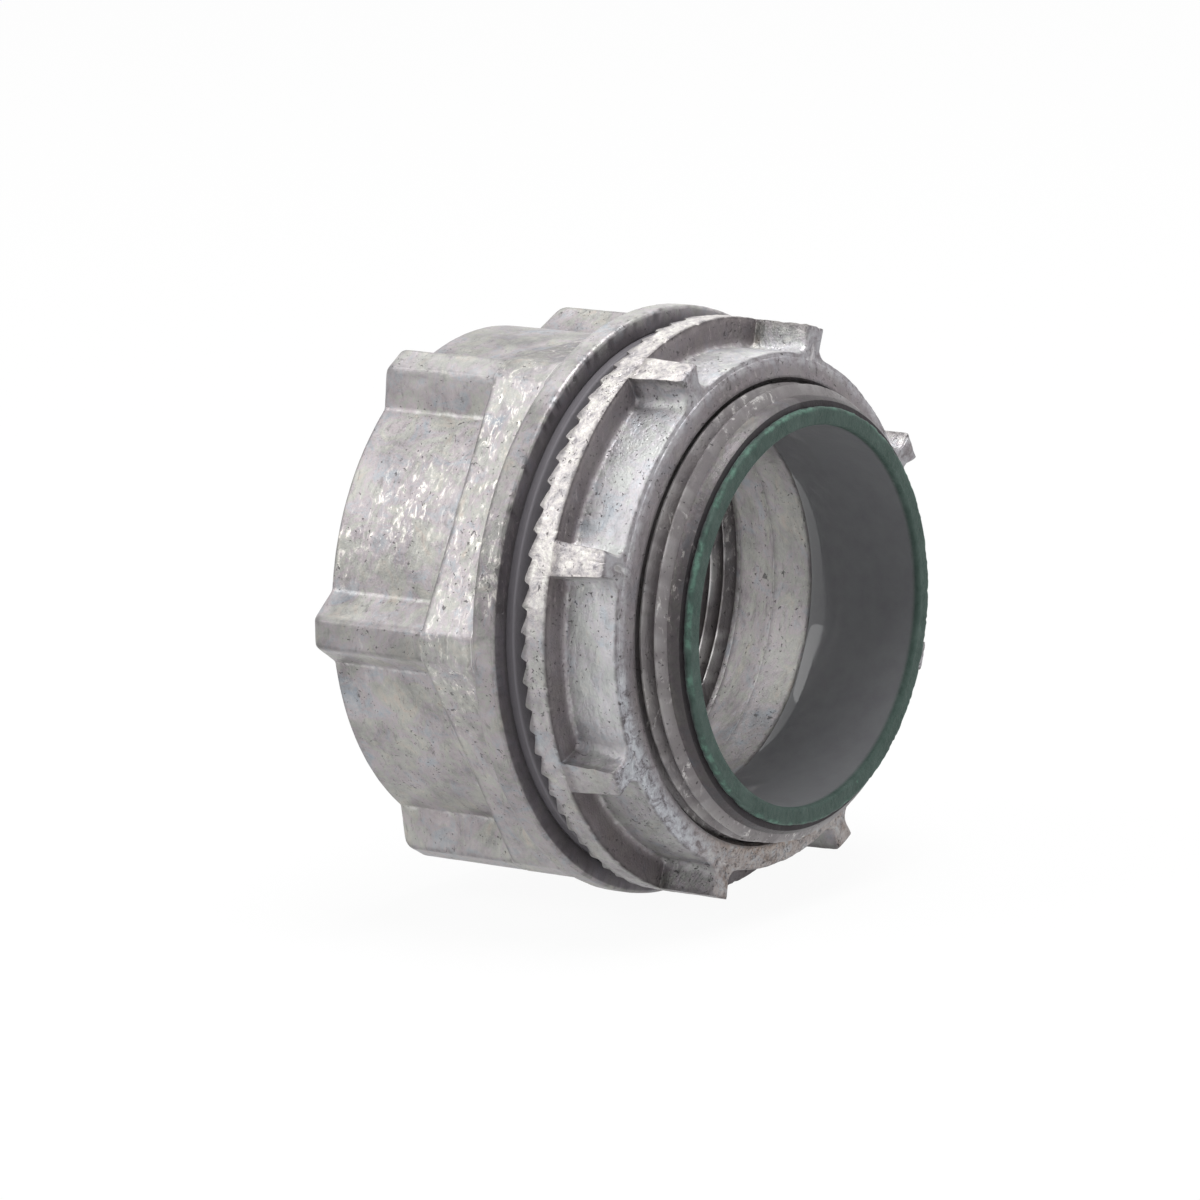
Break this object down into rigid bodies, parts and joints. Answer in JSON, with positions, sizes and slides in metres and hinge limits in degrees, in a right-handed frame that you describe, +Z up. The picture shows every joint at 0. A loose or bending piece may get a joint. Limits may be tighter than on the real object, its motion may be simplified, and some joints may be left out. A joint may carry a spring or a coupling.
{
  "type": "watertight conduit hub",
  "caption": "Die-cast threaded conduit hub with ribbed barrel, hexagonal band, sealing ring in its flange, insulated throat and toothed locknut on the threaded neck.",
  "frame": {"origin": "on the hub's axis, at the flange's sealing face, which meets the outside of the enclosure wall", "axes": "+X along the axis out of the threaded neck, into the enclosure; -X out of the conduit socket; +Z up across one pair of the band's flats"},
  "size_m": [0.0529, 0.0778, 0.0778],
  "materials": {
    "hub_zinc": "bare zinc die casting, matt grey, mottled and pitted",
    "nut_zinc": "bare zinc die casting, brighter and rougher, pitted at the rim",
    "seal_rubber": "matt black rubber",
    "liner_plastic": "glossy dark green moulded plastic"
  },
  "bodies": {
    "hub": {"hub_body": "hub_zinc", "sealing_ring": "seal_rubber", "throat_liner": "liner_plastic"},
    "nut": {"locknut": "nut_zinc"}
  },
  "joints": [
    {"name": "locknut_travel", "type": "slide", "parent": "hub", "child": "nut", "axis": [1, 0, 0], "range_m": [-0.00221, 0.01988]}
  ]
}
